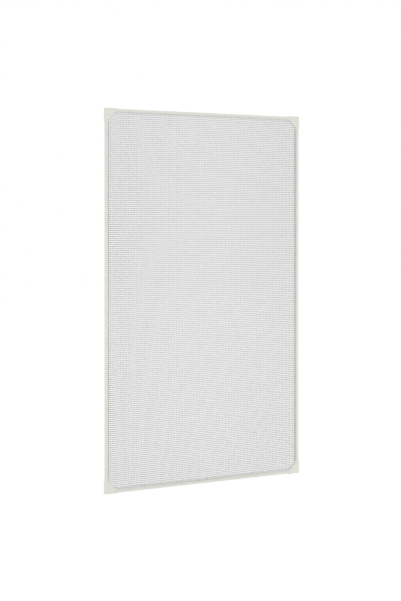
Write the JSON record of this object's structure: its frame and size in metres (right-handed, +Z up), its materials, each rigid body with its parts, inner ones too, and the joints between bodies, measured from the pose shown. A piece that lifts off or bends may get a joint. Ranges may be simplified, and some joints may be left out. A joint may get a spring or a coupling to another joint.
{
  "type": "magnetic insect screen",
  "caption": "Upright rectangular insect screen for a window: a slim white plastic frame with proud corner pieces and a fine pale grey net, held to the window frame by magnet strips.",
  "frame": {"origin": "middle of the overall box of the screen with its counter strips and tape", "axes": "+Z up along the long sides, +X to the right seen from the room, +Y back towards the window"},
  "size_m": [0.8, 0.0122, 1.4],
  "materials": {
    "bar_plastic": "satin",
    "corner_plastic": "fine grain",
    "net_thread": "woven, coated",
    "spline_rubber": "matt",
    "magnet_rubber": "matt",
    "strip_rubber": "matt",
    "foam_tape": "foam"
  },
  "bodies": {
    "root": {"profile_top": "bar_plastic", "profile_bottom": "bar_plastic", "profile_left": "bar_plastic", "profile_right": "bar_plastic", "corner_top_left": "corner_plastic", "corner_top_right": "corner_plastic", "corner_bottom_left": "corner_plastic", "corner_bottom_right": "corner_plastic", "insect_net": "net_thread", "retaining_spline": "spline_rubber", "magnet_top": "magnet_rubber", "magnet_bottom": "magnet_rubber", "magnet_left": "magnet_rubber", "magnet_right": "magnet_rubber", "window_strip_top": "strip_rubber", "window_strip_bottom": "strip_rubber", "window_strip_left": "strip_rubber", "window_strip_right": "strip_rubber", "tape_top": "foam_tape", "tape_bottom": "foam_tape", "tape_left": "foam_tape", "tape_right": "foam_tape"}
  },
  "joints": []
}
